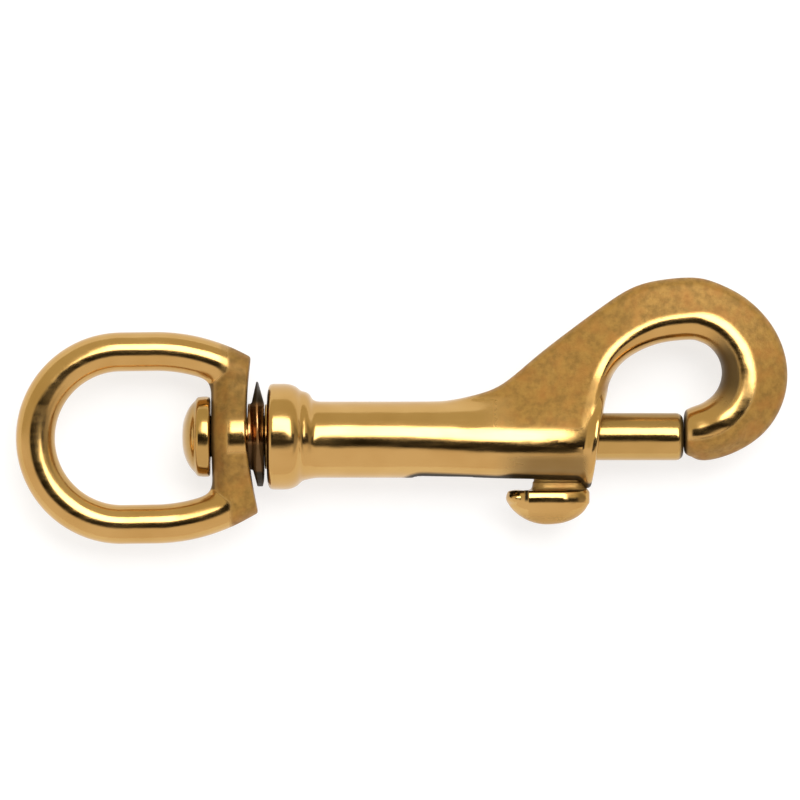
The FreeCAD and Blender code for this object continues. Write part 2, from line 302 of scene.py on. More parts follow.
def bow_outline(degrees):
    """Reach of the bow's outer edge from its centre, by degrees round from the nose side."""
    angle = math.radians(degrees)
    return 10.93 - 0.56 * math.sin(angle) + 0.56 * math.cos(2 * angle - math.radians(130))


def arm_stations():
    """Sections across the hook from its nose, round the bow and down the web into the barrel. Each row is
    the inner edge's x and y, the outer edge's x and y, how far in from the inner edge the crest stands,
    the crest's half height and the outer edge's radius."""
    inner_centre, inner_r = (64.89, 7.46), 3.82
    outer_centre = (65.60, 7.95)
    rows = [
        (NOSE_X - 2, 3.20, NOSE_X - 2, -1.75, 2.5, 2.85, 2.2),
        (NOSE_X, 3.26, NOSE_X, -1.85, 2.6, 2.95, 2.3),
        (65.3, 3.5, 66.0, -2.7, 2.85, 3.2, 2.2),
        (66.1, 3.78, 68.5, -2.45, 3.0, 3.35, 2.0),
    ]
    for degrees in range(30, 181, 15):
        angle = math.radians(degrees)
        turn = (degrees - 30) / 150
        reach = bow_outline(degrees)
        rows.append((
            inner_centre[0] + inner_r * math.sin(angle),
            inner_centre[1] - inner_r * math.cos(angle),
            outer_centre[0] + reach * math.sin(angle),
            outer_centre[1] - reach * math.cos(angle),
            3.1 - 0.65 * smooth_step(1.25 * turn),
            3.5 - 1.15 * turn,
            1.8 - 0.3 * turn,
        ))
    rows += [
        (62.4, 11.05, 61.9, 18.3, 2.35, 2.33, 1.45),
        (60.2, 10.45, 58.3, 17.35, 2.15, 2.42, 1.4),
        (58.3, 9.5, 54.7, 15.1, 1.85, 2.62, 1.4),
        (56.75, 8.2, 50.9, 12.3, 1.6, 2.95, 1.4),
        (55.75, 6.6, 47.3, 9.5, 1.4, 3.25, 1.4),
        (55.1, 4.8, 44.4, 7.05, 1.3, 3.75, 1.4),
        (54.6, 2.9, 41.7, 5.4, 1.25, 4.4, 1.35),
        (54.2, 0.7, 38.0, 4.3, 1.25, 4.75, 1.3),
        (53.8, -1.6, 34.5, 3.2, 1.25, 4.4, 1.3),
    ]
    return rows


ARM = Spline(arm_stations())


def beside_station(x, y, place):
    """How far a point is from the station's line, how far along it, and the station's row."""
    row = ARM(place)
    along_x, along_y = row[:, 2] - row[:, 0], row[:, 3] - row[:, 1]
    width = np.hypot(along_x, along_y)
    along_x, along_y = along_x / width, along_y / width
    dx, dy = x - row[:, 0], y - row[:, 1]
    return along_x * dy - along_y * dx, along_x * dx + along_y * dy, width, row


def arm_coordinates(x, y):
    """For each point of the hook's plane: the station it lies on, and where on that station's line."""
    shape = np.broadcast(x, y).shape
    x = np.broadcast_to(x, shape).ravel()
    y = np.broadcast_to(y, shape).ravel()
    place = np.zeros(x.size)
    least = np.full(x.size, np.inf)
    for trial in np.linspace(0, ARM.last, 2 * ARM.last + 1):
        miss, u, width, _ = beside_station(x, y, np.array([trial]))
        cost = np.abs(miss) + 2 * np.maximum(-u, 0) + 2 * np.maximum(u - width, 0)
        closer = cost < least
        place[closer] = trial
        least[closer] = cost[closer]
    for _ in range(5):
        miss = beside_station(x, y, place)[0]
        ahead = beside_station(x, y, place + 0.01)[0]
        change = (ahead - miss) / 0.01
        change = np.where(np.abs(change) < 0.05, 0.05, change)
        place = np.clip(place - np.clip(miss / change, -0.4, 0.4), 0, ARM.last)
    miss, u, width, row = beside_station(x, y, place)
    return [part.reshape(shape) for part in (place, miss, u, width, row[:, 4], row[:, 5], row[:, 6])]


def arm_field(x, y, z):
    """The hook's arm. Its section is the hull of an ellipse at the inner edge and a small circle at the
    outer edge."""
    place, miss, u, width, crest, height, edge = arm_coordinates(x, y)
    past = u - crest
    side = np.abs(z)
    squeezed = np.minimum(past, 0) * height / crest
    ring = np.hypot(squeezed, side)
    steep = np.hypot(squeezed * height / crest, side)
    inner = (ring - height) * ring / np.maximum(steep, 1e-6)
    reach = np.maximum(width - edge - crest, 0.05)
    lean = np.clip((height - edge) / reach, -0.95, 0.95)
    level = np.sqrt(1 - lean ** 2)
    slant = past * level - side * lean
    tip = np.hypot(past - reach, side) - edge
    flank = side * level + past * lean - height
    outer = np.where(slant < 0, np.hypot(past, side) - height, np.where(slant > reach * level, tip, flank))
    section = np.where(past < 0, inner, outer)
    nose = NOSE_X - x - 6 * np.clip(place - 2.5, 0, 10)
    return smooth_max(section + np.abs(miss), nose, 1.3)


def ahead_of_mouth(x, y):
    """How far a point is beyond the leaning plane of the barrel's mouth."""
    return (x - MOUTH_X) * math.cos(MOUTH_TILT) - y * math.sin(MOUTH_TILT)


def barrel_field(x, y, z):
    """Barrel and its lip at the mouth. Towards the mouth the barrel's crest leans away from the web."""
    skew = SKEW * rising(x, SKEW_X0, SKEW_X1 - SKEW_X0)
    from_axis = y + BARREL_DROP + skew * (z / BARREL_R) ** 2
    swell = rising(x, SWELL_X, MOUTH_X - SWELL_X)
    barrel = np.hypot(from_axis, z) - (BARREL_R + BARREL_SWELL * swell)
    ahead = ahead_of_mouth(x, y)
    lip = np.hypot(ahead + LIP_ROUND, np.hypot(y + BARREL_DROP, z) - (MOUTH_R - LIP_ROUND)) - LIP_ROUND
    barrel = smooth_max(smooth_min(barrel, lip, 1.7), ahead, 0.35)
    return smooth_max(barrel, COLLAR_X0 + 1 - x, 0.5)


def collar_field(x, y, z):
    """Collar with a nearly flat rear face and a round shoulder towards the barrel."""
    past = x - COLLAR_MIDDLE
    bulge = np.where(past < 0, np.abs(past / COLLAR_LEFT) ** 9, np.abs(past / COLLAR_RIGHT) ** 2.3)
    roundness = 2.8
    rise = np.maximum((np.hypot(y, z) - COLLAR_FLAT_R) / (COLLAR_R - COLLAR_FLAT_R), 0) ** roundness
    collar = ((bulge + rise + 1e-9) ** (1 / roundness) - 1) * COLLAR_LEFT
    return smooth_max(collar, COLLAR_X0 - x, 0.3)


def tube_field(x, y, z):
    """Collar, bead and barrel."""
    bead = np.hypot(x - BEAD_X, np.hypot(y - BEAD_RAISED, z) - (BEAD_R - BEAD_ROUND)) - BEAD_ROUND
    tube = smooth_min(barrel_field(x, y, z), bead, 1.6)
    return smooth_min(tube, collar_field(x, y, z), 0.6)


def slot_distance(x, z):
    """How far a point is outside the outline of the knob's slot, seen along Y."""
    return stadium(x, z, SLOT_X0, SLOT_X1, SLOT_WIDTH / 2)


def hook_field(x, y, z):
    """Tube and arm in one casting, less the bore, the recess for the stud's flange and the knob's slot."""
    solid = smooth_min(tube_field(x, y, z), arm_field(x, y, z), 1.5)
    around_axis = np.hypot(y, z)
    countersink = 0.5 * np.maximum(ahead_of_mouth(x, y) + 0.45, 0)
    bore = around_axis - BORE_R - countersink
    bore = np.maximum(bore, x - NOSE_X + 1)
    recess = np.maximum(around_axis - FLANGE_R - 0.02, np.maximum(FLANGE_X0 - x, x - FLANGE_X1))
    lip_hole = np.maximum(around_axis - LIP_HOLE_R, x - FLANGE_X0 - 0.1)
    slot = smooth_max(slot_distance(x, z), y + 1.5, 0.1)
    for hollow in (bore, recess, lip_hole, slot):
        solid = smooth_max(solid, -hollow, 0.3)
    return solid


def hook_cast(x, y, z):
    """The web, the bow's outer flank and the barrel's side below the web are left as cast. The rest of the
    barrel and the bow's crest are polished."""
    place, _, u, _, crest, _, _ = arm_coordinates(x, y)
    polished_width = 0.75 - 0.45 * rising(place, 12, 3)
    flank = rising(u, crest + polished_width, 0.6)
    loop_side = 0.75 * rising(place, 18.3, 1.5)
    off_barrel = rising(tube_field(x, y, z), 0.1, 0.8)
    beside_web = rising(y, 0.5, 0.9) * rising(x, 39.5, 6.5) * falling(x, 53.2, 1.2)
    return np.maximum(flank, loop_side) * np.maximum(off_barrel, beside_web)


def hook_shade_and_stain(x, y, z):
    """Painted shade beside the slot, on the bow's inner wall and on the nose's end by the bolt's tip; above
    the knob, a painted reflection and shadow of the knob with some dirt."""
    reach = 1.5 + 0.7 * rising(x, 42, 3)
    beside_slot = falling(slot_distance(x, z), reach, 0.8) * rising(-y, 2.6, 1)
    # Painted reflection and shadow of the knob on the barrel, with some dirt.
    above_knob = 0.55 * rising(x, 41, 6) * falling(x, 53.6, 1.5) * rising(-y, 1.6, 1.2)
    place, _, u, _, crest, _, _ = arm_coordinates(x, y)
    far_end = smooth_step(1.2 - np.abs(place - 8.2) / 4.2)
    inner_wall = 0.85 * falling(u, 0.8 * crest, 0.5) * far_end
    nose_end = 0.9 * falling(x, NOSE_X + 0.5, 0.4) * (place < 3)
    return np.maximum.reduce([beside_slot, above_knob, inner_wall, nose_end])


def hook_body():
    return field_piece("hook_casting", hook_field, BODY_LOW, BODY_HIGH, 0.24, hook_cast, hook_shade_and_stain)


# ---- swivel eye ----------------------------------------------------------------------------------
WIRE_R = 2.28
BOW_X = -1.2
BOW_R = -EYE_LOW[0] + BOW_X - WIRE_R
CHEEK_X = 2.7
CHEEK_R = 19.7
BAR_X0 = 9.3
BAR_X1 = 13.4
BAR_HOLLOW_R = 46.0
BAR_LEAN = math.radians(2.2)
BAR_END_Y = 6.2
BAR_END_R = 1.9
BOSS_R = EYE_HIGH[2]
BOSS_X0 = 11.2
EYE_BORE_R = 2.46


def eye_wire(x, y, z):
    """Round wire along the bow: a round end, a short straight and cheeks that close in."""
    side = np.abs(y)
    round_end = np.hypot(x - BOW_X, side) - BOW_R
    straight = side - BOW_R
    cheek = np.hypot(x - CHEEK_X, side - (BOW_R - CHEEK_R)) - CHEEK_R
    off = np.where(x < BOW_X, round_end, np.where(x < CHEEK_X, straight, cheek))
    return np.hypot(off, z) - WIRE_R


def eye_bar(x, y, z):
    """Crossbar with a boss: the hull of three circles, bevelled towards the opening. Its hollow outer face,
    which leans a little, comes apart from it, because it cuts the bow's ends too."""
    side = np.abs(y)
    up = np.abs(z)
    lean = (BOSS_R - BAR_END_R) / BAR_END_Y
    level = math.sqrt(1 - lean ** 2)
    slant = side * level - up * lean
    boss = np.hypot(side, up) - BOSS_R
    end = np.hypot(side - BAR_END_Y, up) - BAR_END_R
    flank = side * lean + up * level - BOSS_R
    hull = np.where(slant < 0, boss, np.where(slant > BAR_END_Y * level, end, flank))
    hull = smooth_min(hull, np.hypot(side, up) - BOSS_R - 0.12, 0.8)
    bevel = (hull + (BOSS_X0 - x) * 0.8) * 0.78
    along_face = y * math.cos(BAR_LEAN) + (x - BAR_X1) * math.sin(BAR_LEAN)
    off_face = (x - BAR_X1) * math.cos(BAR_LEAN) + y * math.sin(BAR_LEAN)
    outer_face = BAR_HOLLOW_R - np.hypot(off_face - BAR_HOLLOW_R, along_face)
    spot_face = np.maximum(np.hypot(y, z) - 4.5, BAR_X1 - x)
    outer_face = smooth_max(outer_face, -spot_face, 0.1)
    bar = smooth_max(hull, bevel, 0.5)
    return smooth_max(bar, BAR_X0 - x, 0.5), outer_face


def eye_field(x, y, z):
    """Bow and crossbar in one casting, less the bore for the stud's shank."""
    bar, outer_face = eye_bar(x, y, z)
    solid = smooth_min(eye_wire(x, y, z), bar, 2.0)
    solid = smooth_max(solid, outer_face, 0.5)
    bore = np.hypot(y, z) - EYE_BORE_R - 0.03 * np.abs(x - EYE_PIVOT_X)
    bore = np.maximum(bore, BAR_X0 - 2 - x)
    return smooth_max(solid, -bore, 0.3)


def eye_cast(x, y, z):
    """The crossbar's flanks are left as cast, but not its boss nor where the bow runs into it."""
    side = np.abs(y)
    off_boss = rising(side, 1.5, 0.8)
    bevel = falling(x, BOSS_X0 + 0.3, 0.6)
    start = BAR_X0 + 0.1 + 1.7 * rising(side, 5.8, 2.4)
    return rising(x, start, 0.7) * np.maximum(bevel, off_boss)


def eye_shade(x, y, z):
    """Painted shade on the round end's inner side, on the crossbar's far half and bevel, and a painted
    shadow on the strip of the crossbar behind the stud's head."""
    side = np.abs(y)
    inner_side = 0.12 * falling(np.hypot(x - BOW_X, y), BOW_R + 0.4, 1.2) * rising(-x, 4, 6)
    far_half = 0.24 * rising(x, BAR_X0 + 0.8, 0.8) * rising(y, 0.8, 1.5)
    bevel = 0.2 * rising(x, BAR_X0 + 0.1, 0.3) * falling(x, BOSS_X0 - 0.2, 0.4) * (side < 6.5)
    behind_head = 0.8 * falling(x, BAR_X0 + 0.55, 0.4) * rising(x, BAR_X0 - 0.6, 0.4) * (side < 6.2)
    return np.maximum.reduce([inner_side, far_half, bevel, behind_head])


def swivel_eye():
    high = EYE_HIGH + (0.4, 0, 0.2)
    piece = field_piece("swivel_eye_casting", eye_field, EYE_LOW, high, 0.2, eye_cast, eye_shade)
    lean_about(piece, (EYE_PIVOT_X * MM, 0, 0), EYE_LEAN)
    return piece


def lean_about(piece, pivot, angle):
    """Turns a piece's mesh about an upright line through pivot."""
    turn = np.array([[math.cos(angle), -math.sin(angle)], [math.sin(angle), math.cos(angle)]])
    normals = np.array([n.vector for n in piece.data.vertex_normals])
    places = np.array([v.co for v in piece.data.vertices])
    places[:, :2] = (places[:, :2] - pivot[:2]) @ turn.T + pivot[:2]
    normals[:, :2] = normals[:, :2] @ turn.T
    piece.data.vertices.foreach_set("co", places.ravel())
    piece.data.normals_split_custom_set_from_vertices(normals.tolist())


# ---- latch bolt, thumb knob and spring -----------------------------------------------------------
PILOT_R = 1.65
PILOT_LENGTH = 1.8
SEAT_Y = -2.3
PEG_R = 1.25
KNOB_MIDDLE_X = 48.2
KNOB_CREST_Y = -7.25
KNOB_CREST_R = 2.0
KNOB_FLAT_HALF = 2.0
KNOB_TIP_SIZES = (1.3, 0.95, 1.95)
KEEL_SLANT = math.radians(40)


def bolt_field(x, y, z):
    """Round bolt with a bevelled tip, a thin pilot for the spring, and the knob's seat and peg hole."""
    around = np.hypot(y, z)
    tail_x = BOLT_LOW[0] + PILOT_LENGTH
    shaft = smooth_max(around - BOLT_R, tail_x - x, 0.3)
    end_x = NOSE_X - BOLT_GAP
    front = (x - end_x + around - BOLT_R + 0.5) * math.sqrt(0.5)
    shaft = smooth_max(shaft, smooth_max(x - end_x, front, 0.4), 0.4)
    pilot = smooth_max(around - PILOT_R, np.maximum(BOLT_LOW[0] - x, x - tail_x - 1), 0.3)
    solid = smooth_min(shaft, pilot, 0.2)
    seat = np.maximum(np.maximum(STEM_X0 - x, x - STEM_X1) - 0.02, y - SEAT_Y)
    middle_x = (STEM_X0 + STEM_X1) / 2
    hole = np.maximum(np.hypot(x - middle_x, z) - PEG_R - 0.01, y - KNOB_HIGH[1] - 0.2)
    return smooth_max(smooth_max(solid, -seat, 0.1), -hole, 0.1)


def bolt_shade(x, y, z):
    """Painted shade on the tip's edge in the gap to the nose, and a light painted reflection of the hook's
    dark loop along the far side.
    """
    tip = 0.9 * rising(x, NOSE_X - BOLT_GAP - 0.55, 0.35)
    far_side = 0.22 * rising(y, 0.9, 0.6)
    return np.maximum(tip, far_side)


def latch_bolt():
    high = BOLT_HIGH + (0.4, 0, 0)
    return field_piece("latch_bolt_turned", bolt_field, BOLT_LOW, high, 0.16, shade_and_stain=bolt_shade)


def knob_hull(x, y, z):
    """Boat-shaped hull: round at the crest, slanting in to a keel, with rounded ends and a flat deck."""
    rear = x < KNOB_MIDDLE_X
    reach = np.where(rear, KNOB_MIDDLE_X - KNOB_LOW[0] - 0.1, KNOB_HIGH[0] - KNOB_MIDDLE_X)
    off_middle = np.abs(x - KNOB_MIDDLE_X)
    keel = np.maximum(KNOB_CREST_Y - y, 0) / (KNOB_CREST_Y - KNOB_LOW[1])
    power = np.where(rear, 1.7, 2.1)
    outline = ((off_middle / reach) ** power + keel ** power + 1e-9) ** (1 / power) - 1
    past = np.maximum(off_middle - KNOB_FLAT_HALF, 0) / (reach - KNOB_FLAT_HALF)
    narrowing = np.where(rear, 0.7, 0.55) * np.minimum(past, 1.2) ** np.where(rear, 1.1, 1.3)
    half_width = KNOB_HIGH[2] * (1 - narrowing)
    above = y - KNOB_CREST_Y
    across = np.abs(z) - (half_width - KNOB_CREST_R)
    flank = across * math.cos(KEEL_SLANT) - above * math.sin(KEEL_SLANT) - KNOB_CREST_R
    corner = np.hypot(np.maximum(across, 0), np.maximum(above, -9)) - KNOB_CREST_R
    section = np.where(above < -across * math.tan(KEEL_SLANT), flank, corner)
    section = np.where(across < 0, np.maximum(flank, above - KNOB_CREST_R), section)
    hull = smooth_max(outline * 2.2, section * 0.9, 0.9)
    return smooth_max(hull, y - DECK_Y, 0.5)


def knob_tip(x, y, z):
    """Small rounded tip at the hull's rear end."""
    off = (x - KNOB_LOW[0] - 1.3, y + 7.15, z)
    squares = [(distance / size) ** 2 for distance, size in zip(off, KNOB_TIP_SIZES)]
    return (np.sqrt(squares[0] + squares[1] + squares[2]) - 1) * KNOB_TIP_SIZES[0]


def knob_field(x, y, z):
    """Hull with its tip, an oblong stem on a wider foot, and a peg that holds it in the bolt."""
    head = smooth_min(knob_hull(x, y, z), knob_tip(x, y, z), 0.25)
    stem = stadium(x, z, STEM_X0, STEM_X1, STEM_WIDTH / 2)
    stem = np.maximum(stem, np.maximum(y - SEAT_Y + 0.01, DECK_Y - 1.5 - y))
    foot = stadium(x, z, STEM_X0 - 0.1, KNOB_HIGH[0] - 0.4, STEM_WIDTH / 2 + 0.25)
    foot = np.maximum(foot, np.maximum(y + 5.35, DECK_Y - 1 - y))
    peg = np.hypot(x - (STEM_X0 + STEM_X1) / 2, z) - PEG_R
    peg = np.maximum(peg, np.maximum(y - KNOB_HIGH[1], SEAT_Y - 1 - y))
    solid = smooth_min(head, foot, 1.2)
    return smooth_min(np.minimum(solid, peg), stem, 0.4)


def knob_cast(x, y, z):
    """The keel is dull, and so are the stem and foot."""
    keel = 0.45 * falling(y, DECK_Y - 2.2, 1.5)
    stem = 0.8 * rising(y, DECK_Y - 0.1, 0.5)
    return np.maximum(keel, stem)


def knob_shade(x, y, z):
    """Painted shade in the notch between the tip and the hull's crest."""
    notch = smooth_step(1.5 - np.abs(x - KNOB_LOW[0] - 2.35) / 0.2)
    return notch * rising(y, -7.7, 0.5)


def thumb_knob():
    return field_piece("thumb_knob_casting", knob_field, KNOB_LOW, KNOB_HIGH, 0.13, knob_cast, knob_shade)


def bolt_spring():
    """Coil of round wire with a closed turn at each end."""
    wire_r = 0.28
    coil_r = SPRING_HIGH[2] - wire_r
    turns = 12
    around, along = 14, 32 * turns
    start, end = SPRING_LOW[0] + wire_r, SPRING_HIGH[0] - wire_r
    share = np.linspace(0, 1, along + 1)
    closed = 2.2 * wire_r / (end - start)
    rise = np.interp(share * turns, [0, 1, turns - 1, turns], [0, closed, 1 - closed, 1])
    angle = 2 * math.pi * turns * share
    out = np.stack([np.zeros_like(angle), np.cos(angle), np.sin(angle)], 1)
    axis = np.array([1.0, 0, 0])
    middle = np.outer(start + (end - start) * rise, axis) + coil_r * out
    turn = 2 * math.pi * np.arange(around) / around
    rings = middle[:, None] + wire_r * (
        np.cos(turn)[None, :, None] * out[:, None] + np.sin(turn)[None, :, None] * axis
    )
    points = rings.reshape(-1, 3).tolist() + [middle[0].tolist(), middle[-1].tolist()]
    faces = []
    for k in range(along):
        for j in range(around):
            a, b = k * around + j, k * around + (j + 1) % around
            faces.append((a, a + around, b + around, b))
    first, last = len(points) - 2, len(points) - 1
    for j in range(around):
        after = (j + 1) % around
        faces.append((first, j, after))
        faces.append((last, along * around + after, along * around + j))
    mesh = bpy.data.meshes.new("bolt_spring_coil")
    mesh.from_pydata([[c * MM for c in p] for p in points], [], faces)
    mesh.polygons.foreach_set("use_smooth", [True] * len(faces))
    piece = bpy.data.objects.new("bolt_spring_coil", mesh)
    bpy.context.scene.collection.objects.link(piece)
    return piece


# ---- stud and washer -----------------------------------------------------------------------------
SHANK_R = 2.32
HEAD_R = 4.6
HEAD_X1 = 9.15
NECK_R = 3.8
NECK_X0 = WASHER_HIGH[0] + 0.1
SPIGOT_R = 2.75
WASHER_RAISED = 0.3
WASHER_HUB_R = 3.85
WASHER_MIDDLE = (WASHER_LOW[0] + WASHER_HIGH[0]) / 2
WASHER_HALF = (WASHER_HIGH[0] - WASHER_LOW[0]) / 2


def rivet_marks():
    """Centre and radius of each ball that dents the riveted head: one in its middle and five round it."""
    balls = [((-1.3, 0.0, 0.0), 6.95)]
    for out, angle in ((2.7, 0.5), (2.6, 1.75), (2.8, 3.1), (2.7, 4.3), (2.6, 5.4)):
        centre = (-1.3 + 0.42 * out, 2.1 * out * math.cos(angle), 2.1 * out * math.sin(angle))
        balls.append((centre, 5.0))
    return balls


def head_field(x, y, z):
    """Domed head with a short rim, and the dents of its riveting."""
    around = np.hypot(y, z)
    rim_x = 8.35
    dome = (np.sqrt(((x - 8.5) / 2.7) ** 2 + (around / HEAD_R) ** 2) - 1) * 3.3
    rim = rounded_box(np.abs(x - rim_x) - (HEAD_X1 - rim_x), around - HEAD_R + 0.02, 0.3)
    head = smooth_max(smooth_min(dome, rim, 0.5), x - HEAD_X1, 0.35)
    for centre, radius in rivet_marks():
        ball = np.sqrt((x - centre[0]) ** 2 + (y - centre[1]) ** 2 + (z - centre[2]) ** 2) - radius
        head = smooth_max(head, -ball, 0.8)
    return head


def stud_field(x, y, z):
    """Head, shank, neck, the flange held in the collar, and the spigot and pilot that carry the spring."""
    around = np.hypot(y, z)
    shank = np.maximum(around - SHANK_R, np.maximum(HEAD_X1 - 1 - x, x - NECK_X0 - 0.5))
    neck = smooth_max(around - NECK_R, NECK_X0 - x, 0.3)
    neck = np.maximum(neck, x - FLANGE_X1 + 0.3)
    flange = np.abs(x - (FLANGE_X0 + FLANGE_X1) / 2) - (FLANGE_X1 - FLANGE_X0) / 2
    flange = smooth_max(around - FLANGE_R, flange + 0.02, 0.2)
    spigot_end = SPRING_SEAT_X - 0.02
    spigot = smooth_max(around - SPIGOT_R, np.maximum(x - spigot_end, FLANGE_X1 - 0.5 - x), 0.2)
    pilot = smooth_max(around - PILOT_R, np.maximum(x - STUD_HIGH[0], FLANGE_X1 - x), 0.3)
    solid = np.minimum(smooth_min(head_field(x, y, z), shank, 0.3), np.minimum(neck, flange))
    return np.minimum(solid, np.minimum(spigot, pilot))


def swivel_stud():
    return field_piece("swivel_stud_riveted", stud_field, STUD_LOW, STUD_HIGH, 0.16)


def washer_field(x, y, z):
    """Lens-shaped disc with a sharp rim round a hub. It sits a little high, loose on the shank. Its rim is
    nearer to the hook's collar than to the eye, and is thicker and further over on the -Y side."""
    shank = np.hypot(y, z)
    around = np.hypot(y - WASHER_RAISED, z)
    rim_x = WASHER_MIDDLE + 0.32 - 0.03 * y
    thick = 0.1 + 0.2 * smooth_step(-y / 4)
    lens = (np.abs(x - rim_x) + 0.25 * (around - WASHER_HIGH[1])) * 0.97 - thick
    lens = smooth_max(lens, around - WASHER_HIGH[1], 0.1)
    off_middle = np.abs(x - WASHER_MIDDLE) - WASHER_HALF
    hub = rounded_box(off_middle, shank - WASHER_HUB_R, 0.15)
    disc = smooth_max(smooth_min(lens, hub, 0.3), off_middle, 0.1)
    return smooth_max(disc, SHANK_R + 0.08 - shank, 0.2)


def washer_shade(x, y, z):
    """Painted shade towards the rim on both sides and over the -Y half, where the washer sits deep in the
    gap between eye and collar.
    """
    rim = rising(np.abs(y), 3.2, 1.1)
    near_half = 0.8 * rising(-y, 0.3, 0.8)
    return np.maximum(rim, near_half)


def thrust_washer():
    room = np.array([0, WASHER_RAISED, 0])
    high = WASHER_HIGH + room
    return field_piece("thrust_washer_lens", washer_field, WASHER_LOW, high, 0.11, shade_and_stain=washer_shade)


# ---- materials -----------------------------------------------------------------------------------
# Near-black colour painted for shade in hollows, gaps and shaded sides, with a little dirt among it.
SHADE_AND_DIRT = (0.02, 0.012, 0.003, 1)


class Nodes:
    """Short ways to add and join shader nodes."""

    def __init__(self, tree):
        self.tree = tree

    def add(self, kind, inputs=(), **settings):
        node = self.tree.nodes.new(kind)
        for name, value in settings.items():
            setattr(node, name, value)
        for name, value in dict(inputs).items():
            if isinstance(value, bpy.types.NodeSocket):
                self.tree.links.new(value, node.inputs[name])
            else:
                node.inputs[name].default_value = value
        return node

    def math(self, operation, a, b=0.0, clamp=False):
        node = self.add("ShaderNodeMath", {0: a, 1: b}, operation=operation, use_clamp=clamp)
        return node.outputs[0]

    def blend(self, share, a, b):
        node = self.add("ShaderNodeMix", {0: share, 6: a, 7: b}, data_type="RGBA")
        return node.outputs[2]

    def between(self, value, low, high, to_low=0.0, to_high=1.0):
        """Goes from to_low to to_high while value goes from low to high, and no further."""
        inputs = {"Value": value, "From Min": low, "From Max": high, "To Min": to_low, "To Max": to_high}
        return self.add("ShaderNodeMapRange", inputs).outputs[0]

    def noise(self, place, size_mm, detail=3.0, roughness=0.55, stretch=None):
        """Noise whose features are about size_mm across."""
        if stretch:
            place = self.add("ShaderNodeMapping", {"Vector": place, "Scale": stretch}).outputs[0]
        inputs = {"Vector": place, "Scale": 1000 / size_mm, "Detail": detail, "Roughness": roughness}
        return self.add("ShaderNodeTexNoise", inputs).outputs["Fac"]

    def surface(self, inputs):
        """The material's shader and output."""
        shader = self.add("ShaderNodeBsdfPrincipled", inputs)
        self.add("ShaderNodeOutputMaterial", {"Surface": shader.outputs[0]})


def new_material(name):
    """An empty node material, and the short ways to fill it."""
    material = bpy.data.materials.new(name)
    material.use_nodes = True
    material.node_tree.nodes.clear()
    return material, Nodes(material.node_tree)


def brass_bump(n, place, mottle, cast):
    """Slow waves all over, and a grain that is strong where the skin is left as cast."""
    waves = n.noise(place, 3.2, 1.0, 0.4)
    bump = n.add("ShaderNodeBump", {"Height": waves, "Strength": 1.0, "Distance": 0.06 * MM})
    fine = n.noise(place, 0.28, 3.0, 0.6)
    grain = n.math("MULTIPLY", n.math("ADD", mottle, fine), n.between(cast, 0, 1, 0.08, 1.0))
    inputs = {"Height": grain, "Strength": 1.0, "Distance": 0.04 * MM, "Normal": bump.outputs[0]}
    return n.add("ShaderNodeBump", inputs).outputs[0]


def cast_color(n, skin, mottle, patchy):
    """Dull colour of the skin left by casting: a fine mottle of two tones, with warmer patches."""
    pale_skin = [1.18 * c for c in skin[:3]] + [1]
    deep_skin = [0.8 * c for c in skin[:3]] + [1]
    warm_skin = (1.25 * skin[0], 0.95 * skin[1], 0.9 * skin[2], 1)
    dull = n.blend(n.between(mottle, 0.35, 0.65), pale_skin, deep_skin)
    return n.blend(n.math("MULTIPLY", n.between(patchy, 0.45, 0.7), 0.5), dull, warm_skin)


def brass(name, light, deep, skin, polish):
    """Brass, polished where the vertex attribute cast is 0 and under a dull grainy skin where it is 1. Its
    colour drifts between light and deep, shade is painted dark into hollows and onto the places marked for
    it, with a little dirt among it, and edges are rubbed bright."""
    material, n = new_material(name)
    place = n.add("ShaderNodeTexCoord").outputs["Object"]
    cast = n.add("ShaderNodeAttribute", attribute_name="cast").outputs["Fac"]
    # Darkening attribute: mostly painted shade and painted dark reflection, with a little dirt.
    shade_and_stain = n.add("ShaderNodeAttribute", attribute_name="shade_and_stain").outputs["Fac"]
    # How deep in a hollow each vertex is, used for painted shade.
    hollow_shade = n.add("ShaderNodeAttribute", attribute_name="hollow_shade").outputs["Fac"]
    edge = n.add("ShaderNodeAttribute", attribute_name="edge").outputs["Fac"]
    broad = n.noise(place, 6.0, 2.0)
    patchy = n.noise(place, 2.2, 2.0)
    mottle = n.noise(place, 0.9, 3.0, 0.6)
    scuffs = n.noise(place, 0.5, 2.0, 0.5, (0.12, 1.0, 1.0))
    metal = n.blend(n.between(broad, 0.35, 0.65), light, deep)
    rubbed = n.math("MULTIPLY", n.between(edge, 0.35, 0.9), 0.3)
    skinned = n.math("MULTIPLY", cast, n.math("SUBTRACT", 1.0, rubbed))
    color = n.blend(skinned, metal, cast_color(n, skin, mottle, patchy))
    # Painted shade: the colour darkens in hollows and where the darkening attribute asks for it.
    shade_in_hollows = n.math("MULTIPLY", n.between(hollow_shade, 0.3, 0.85), n.between(mottle, 0.2, 0.6, 0.6, 1.0))
    dark = n.math("MAXIMUM", n.math("MULTIPLY", shade_in_hollows, 0.85), shade_and_stain)
    color = n.blend(dark, color, SHADE_AND_DIRT)
    rough = n.between(scuffs, 0.3, 0.75, polish, polish + 0.1)
    skin_rough = n.between(mottle, 0.3, 0.7, 0.4, 0.52)
    rough = n.add("ShaderNodeMix", {0: skinned, 2: rough, 3: skin_rough}).outputs[0]
    rough = n.math("ADD", rough, n.math("MULTIPLY", dark, 0.3), True)
    metallic = n.math("SUBTRACT", 1.0, n.math("MULTIPLY", skinned, 0.8))
    metallic = n.math("MULTIPLY", metallic, n.math("SUBTRACT", 1.0, n.math("MULTIPLY", dark, 0.7)))
    n.surface({
        "Base Color": color,
        "Metallic": metallic,
        "Roughness": rough,
        "Specular IOR Level": 0.18,
        "Normal": brass_bump(n, place, mottle, cast),
    })
    return material


